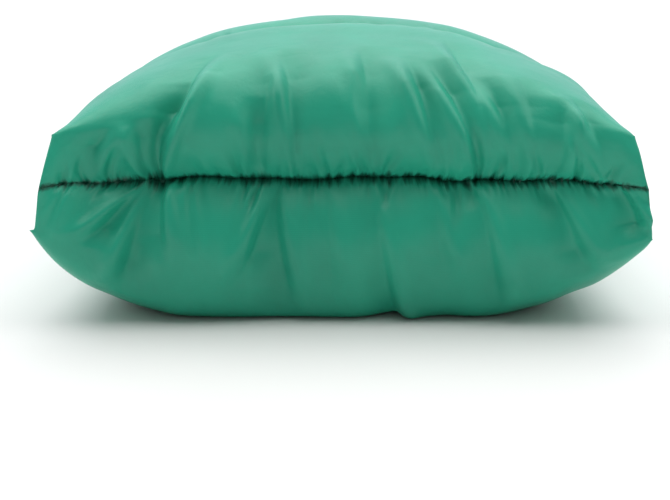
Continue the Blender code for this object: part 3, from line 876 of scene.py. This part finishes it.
def nylon(name, colour, roughness):
    """Satin taffeta: a fine weave, small crinkles, gathers at the seam, an uneven dye and painted shade
    in the bottom of the seam's groove.
    """
    made, tree, shader = new_material(name)
    cloth = add_node(tree, "ShaderNodeUVMap", uv_map="cloth")
    seam = add_node(tree, "ShaderNodeUVMap", uv_map="seam")
    split = tree.nodes.new("ShaderNodeSeparateXYZ")
    link(tree, seam, "UV", split, "Vector")
    tone = noise_node(tree, cloth, "UV", Scale=14.0, Detail=5.0, Roughness=0.6)
    weave = plain_weave(tree, (cloth, "UV"), 0.0007)
    mottle = math_node(tree, "MULTIPLY_ADD", (weave, "Value"), 0.22, (tone, "Fac"))
    stops = ((0.30, shaded(colour, 0.84)), (0.82, shaded(colour, 1.12)))
    dye = ramp_node(tree, mottle, "Value", stops)
    # The cloth is painted darker in the bottom of the seam's groove, as painted shade, with a toothed
    # edge where it is gathered.
    stretch = add_node(tree, "ShaderNodeMapping", Scale=(270.0, 60.0, 1.0))
    link(tree, seam, "UV", stretch, "Vector")
    folds = noise_node(tree, stretch, "Vector", Scale=1.0, Detail=2.0, Distortion=0.3)
    shift = math_node(tree, "MULTIPLY", (folds, "Fac"), -0.0090)
    toothed = math_node(tree, "ADD", (split, "Y"), (shift, "Value"))
    # groove and depth hold the painted shade of the seam's groove: a ramp from the shade's colour to
    # white, multiplied over the dye
    groove = range_node(tree, toothed, "Value", {"From Min": -0.0042, "From Max": -0.0016})
    depth = ramp_node(tree, groove, "Result", ((0.0, GROOVE_PAINTED_SHADE), (1.0, WHITE)))
    link(tree, multiplied(tree, dye, depth), 2, shader, "Base Color")
    uneven = noise_node(tree, cloth, "UV", Scale=60.0, Detail=4.0)
    ends = {"To Min": roughness - 0.05, "To Max": roughness + 0.07}
    link(tree, range_node(tree, uneven, "Fac", ends), "Result", shader, "Roughness")
    threads = bump_node(tree, (weave, "Value"), 0.40, 0.00010)
    crinkle = noise_node(tree, cloth, "UV", Scale=75.0, Detail=6.0, Roughness=0.62, Distortion=0.6)
    crinkled = bump_node(tree, (crinkle, "Fac"), 0.35, 0.0012, threads)
    # Gathers run away from the seam and die out within a centimetre.
    distance = math_node(tree, "MULTIPLY", (split, "Y"), -380.0)
    fade = math_node(tree, "EXPONENT", (distance, "Value"))
    gathers = math_node(tree, "MULTIPLY", (folds, "Fac"), (fade, "Value"))
    gathered = bump_node(tree, (gathers, "Value"), 0.9, 0.0035, crinkled)
    link(tree, gathered, "Normal", shader, "Normal")
    sheen = {"Sheen Weight": 0.03, "Sheen Roughness": 0.35, "Sheen Tint": (0.75, 1.0, 0.9, 1)}
    set_sockets(shader, {**sheen, "Specular IOR Level": 0.36})
    return made


def woven(name, colour, pitch, roughness=0.75, twill=0.0):
    """A coarse woven or knitted cloth, tape or thread, in object space."""
    made, tree, shader = new_material(name)
    place = tree.nodes.new("ShaderNodeTexCoord")
    turned = add_node(tree, "ShaderNodeMapping", Rotation=(math.radians(90), 0, twill))
    link(tree, place, "Object", turned, "Vector")
    weave = plain_weave(tree, (turned, "Vector"), pitch)
    tone = noise_node(tree, place, "Object", Scale=180.0, Detail=4.0)
    dye = ramp_node(tree, tone, "Fac", ((0.3, shaded(colour, 0.8)), (0.7, shaded(colour, 1.2))))
    link(tree, dye, "Color", shader, "Base Color")
    fuzz = noise_node(tree, place, "Object", Scale=2500.0, Detail=3.0)
    fibres = bump_node(tree, (fuzz, "Fac"), 0.3, 0.0001)
    threads = bump_node(tree, (weave, "Value"), 0.6, 0.00015, fibres)
    link(tree, threads, "Normal", shader, "Normal")
    set_sockets(shader, {"Roughness": roughness, "Sheen Weight": 0.3})
    return made


def fleece(name, colour):
    """Loose fibre: matted, with a low nap."""
    made, tree, shader = new_material(name)
    place = tree.nodes.new("ShaderNodeTexCoord")
    look = {"Scale": 45.0, "Detail": 8.0, "Roughness": 0.7, "Distortion": 1.2}
    clumps = noise_node(tree, place, "Object", **look)
    stops = ((0.35, shaded(colour, 0.86)), (0.65, shaded(colour, 1.04)))
    link(tree, ramp_node(tree, clumps, "Fac", stops), "Color", shader, "Base Color")
    nap = bump_node(tree, (clumps, "Fac"), 0.6, 0.002)
    link(tree, nap, "Normal", shader, "Normal")
    set_sockets(shader, {"Roughness": 0.95, "Sheen Weight": 0.4})
    return made


def moulded(name, colour, roughness, metallic=0.0):
    """Moulded nylon or painted metal: a faint orange peel, and an uneven gloss."""
    made, tree, shader = new_material(name)
    place = tree.nodes.new("ShaderNodeTexCoord")
    peel = noise_node(tree, place, "Object", Scale=900.0, Detail=3.0)
    skin = bump_node(tree, (peel, "Fac"), 0.15, 0.00008)
    link(tree, skin, "Normal", shader, "Normal")
    rub = noise_node(tree, place, "Object", Scale=260.0, Detail=5.0, Roughness=0.65)
    ends = {"To Min": roughness - 0.08, "To Max": roughness + 0.12}
    link(tree, range_node(tree, rub, "Fac", ends), "Result", shader, "Roughness")
    stops = ((0.35, shaded(colour, 0.85)), (0.75, shaded(colour, 1.35)))
    link(tree, ramp_node(tree, rub, "Fac", stops), "Color", shader, "Base Color")
    set_sockets(shader, {"Metallic": metallic})
    return made


def paper_floor():
    made, tree, shader = new_material("studio_floor")
    place = tree.nodes.new("ShaderNodeTexCoord")
    grain = noise_node(tree, place, "Object", Scale=6.0, Detail=3.0)
    stops = ((0.3, (0.76, 0.765, 0.755)), (0.7, (0.78, 0.785, 0.775)))
    link(tree, ramp_node(tree, grain, "Fac", stops), "Color", shader, "Base Color")
    set_sockets(shader, {"Roughness": 0.8, "Specular IOR Level": 0.1})
    return made


# Studio


def panel_light(name, energy, size, location):
    """A rectangular soft light that faces the pillow."""
    light = bpy.data.lights.new(name, "AREA")
    light.shape = "RECTANGLE"
    light.size, light.size_y = size
    light.energy = energy
    lamp = add_object(name, light)
    lamp.location = location
    aim = Vector((0, 0, SEAM_Z)) - lamp.location
    lamp.rotation_euler = aim.to_track_quat("-Z", "Y").to_euler()
    return light


def studio():
    bpy.ops.mesh.primitive_plane_add(size=FLOOR_SIZE, location=(0, 0, 0))
    floor = bpy.context.object
    floor.name = "floor"
    floor.data.materials.append(paper_floor())
    scene = bpy.context.scene
    world = bpy.data.worlds.new("studio")
    world.use_nodes = True
    set_sockets(world.node_tree.nodes["Background"], {"Color": (1, 1, 1, 1), "Strength": WORLD})
    scene.world = world
    scene.view_settings.view_transform = "Standard"
    sky = bpy.data.lights.new("sky", "SUN")
    sky.angle = math.radians(SUN_ANGLE)
    sky.energy = SUN
    add_object("sky", sky).rotation_euler = (math.radians(-SUN_TILT), 0, 0)
    back = panel_light("back_panel", BACK_PANEL, BACK_PANEL_SIZE, BACK_PANEL_PLACE)
    back.color = BACK_PANEL_TINT
    for side in (-1, 1):
        place = (side * SIDE_PANEL_AWAY, 0.0, SIDE_PANEL_Z)
        panel_light("side_panel", SIDE_PANEL, SIDE_PANEL_SIZE, place)
    camera = add_object("camera", bpy.data.cameras.new("camera"))
    camera.data.sensor_width = SENSOR
    camera.data.lens = LENS
    camera.location = (CAMERA_X, -DEPTH / 2 - CAMERA_AWAY, CAMERA_Z)
    camera.rotation_euler = (math.radians(90 - CAMERA_DOWN), 0, math.radians(CAMERA_TURN))
    scene.camera = camera


# Assembly


def finish_node(node, made):
    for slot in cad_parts[node].material_slots:
        slot.material = made


def set_on(obj, body, slot, made, *nodes):
    """Gives a piece its body, its material and the CAD nodes that it stands for."""
    obj.data.materials.clear()
    obj.data.materials.append(made)
    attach(obj, body)
    if nodes:
        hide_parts(*nodes)
    return obj


def binding_rows(line, depth, inward, across):
    """A binding's sections: the line moved in by depth, and at each point its two directions."""
    even = resampled(line, BINDING_STEP)
    count = (len(even), 1)
    return even + inward * depth, np.tile(inward, count), np.tile(across, count)


def seam_lines(place, points):
    """The seam's stretches between the corners and the zip, in the form that binding_strip takes."""
    u, v, s = place.T
    on_seam = np.abs(s) < NIL
    past_zip = np.abs(u) * WIDTH / 2 > LIP_END + 0.012
    runs = (
        ((v < -EDGE) & (np.abs(u) < 0.86), u, (0.0, 1.0, 0.0)),
        ((u < -EDGE) & (np.abs(v) < 0.80), v, (1.0, 0.0, 0.0)),
        ((u > EDGE) & (np.abs(v) < 0.80), v, (-1.0, 0.0, 0.0)),
        ((v > EDGE) & (u > -0.86) & (u < 0) & past_zip, u, (0.0, -1.0, 0.0)),
        ((v > EDGE) & (u < 0.86) & (u > 0) & past_zip, u, (0.0, -1.0, 0.0)),
    )
    up = np.array((0.0, 0.0, 1.0))
    lines = []
    for chosen, key, inward in runs:
        line = row_points(points, on_seam & chosen, key)
        lines.append(binding_rows(line, BINDING_DEEP, np.array(inward), up))
    return lines


def corner_lines(place, points):
    """The cross seams of the four boxed corners, in the same form."""
    u, v, s = place.T
    lines = []
    for end_x in (-1, 1):
        for end_y in (-1, 1):
            chosen = (u * end_x > EDGE) & (v * end_y > EDGE) & (np.abs(s) < 0.80)
            line = row_points(points, chosen, s)
            inward = np.array((-end_x, -end_y, 0)) / math.sqrt(2)
            across = np.array((-end_y, end_x, 0)) / math.sqrt(2)
            lines.append(binding_rows(line, CORNER_BINDING_DEEP, inward, across))
    return lines


def quilting(name, place, points, face):
    """The stitches of one quilting line, kept off the table."""
    u, v, s = place.T
    line = row_points(points, (np.abs(v) < NIL) & (s == face) & (np.abs(u) < QUILT_SHARE), u)
    line[:, 2] = np.maximum(line[:, 2], 0.0012)
    rows = [(line, np.array((0, 0, face)))]
    return stitches(name, rows, pitch=0.0034, radius=0.00038, lift=0.0005)


def lip_stitching(place, points):
    """The topstitching beside each lip of the zip's opening."""
    u, v, s = place.T
    row = 1 / WALL_CELLS * 1.5  # one and a half cells from the seam, as a share of the half height
    lines = []
    for face in (-1, 1):
        chosen = (v > EDGE) & (np.abs(s - face * row) < 1e-4) & (np.abs(u) * WIDTH / 2 < LIP_END)
        lines.append((row_points(points, chosen, u), np.array((0.0, 1.0, 0.0))))
    return stitches("zip_topstitching", lines, pitch=0.0030, radius=0.00032, lift=0.0004)


def build_pillow(p, points, mesh, place, dressed, thread):
    """The two padded halves of the cover, what is in them, and the bindings of their seam."""
    shell = nylon("green_nylon", NYLON, 0.36)
    lining = woven("lining_cloth", (0.020, 0.150, 0.100), 0.0008, 0.65)
    ticking = woven("ticking_cloth", (0.78, 0.78, 0.75), 0.0007, 0.85)
    fibre = fleece("stuffing", (0.86, 0.86, 0.84))
    binding = woven("binding_tape", (0.010, 0.120, 0.080), 0.0009)
    for half, face in (("top", 1), ("bottom", -1)):
        nodes = (half + "_shell", half + "_front_batting", half + "_rear_batting")
        cover = panel("cover_" + half, mesh, place, dressed, face)
        set_on(cover, "cover", "shell", shell, *nodes)
        inside = inner_layer("cover_lining_" + half, p, points, face, LINING_DEEP, 3)
        set_on(inside, "cover", "lining", lining, half + "_lining")
        case = inner_layer("inner_pillow_" + half, p, points, face, TICKING_DEEP, 10)
        set_on(case, "cover", "ticking", ticking, "insert_ticking_" + half)
        row = quilting("quilting_stitches_" + half, place, dressed, face)
        set_on(row, "cover", "thread", thread, "quilting_thread_" + half)
    fill = inner_layer("inner_pillow_fill", p, points, 0, FILL_DEEP, 12)
    set_on(fill, "cover", "batting", fibre, "insert_fill")
    sides = ("front", "left", "right", "rear_left", "rear_right")
    strips = binding_strip("seam_bindings", seam_lines(place, dressed))
    set_on(strips, "cover", "binding", binding, *("seam_binding_" + side for side in sides))
    corners = ("front_left", "front_right", "rear_left", "rear_right")
    strips = binding_strip("corner_bindings", corner_lines(place, dressed))
    set_on(strips, "cover", "binding", binding, *("corner_binding_" + corner for corner in corners))


def build_zip(place, dressed, thread):
    """The zip: its teeth and topstitching are made here, and its other pieces are the CAD nodes."""
    tape = woven("zip_tape", (0.008, 0.120, 0.080), 0.0010, 0.70, twill=0.5)
    coil = moulded("zip_coil", (0.010, 0.130, 0.085), 0.40)
    metal = moulded("painted_metal", (0.060, 0.065, 0.070), 0.34, 0.85)
    set_on(lip_stitching(place, dressed), "cover", "thread", thread)
    for half, side in (("upper", 1), ("lower", -1)):
        node = "zip_coil_" + half
        set_on(zip_coil("zip_teeth_" + half, node, side), "cover", "coil", coil, node)
        finish_node("zip_tape_" + half, tape)
        finish_node("zip_stop_" + half, metal)
    for node in ("zip_bottom_stop", "zip_slider_body", "zip_pull_tab"):
        finish_node(node, metal)


def build():
    p = Pattern()
    points = settled(sagged(p, inflate(p)))
    mesh, place = refined(p, points)
    dressed = dress(mesh, place)
    thread = woven("sewing_thread", (0.010, 0.200, 0.130), 0.0005, 0.55, twill=0.6)
    build_pillow(p, points, mesh, place, dressed, thread)
    build_zip(place, dressed, thread)
    bpy.data.meshes.remove(mesh)


build()
studio()
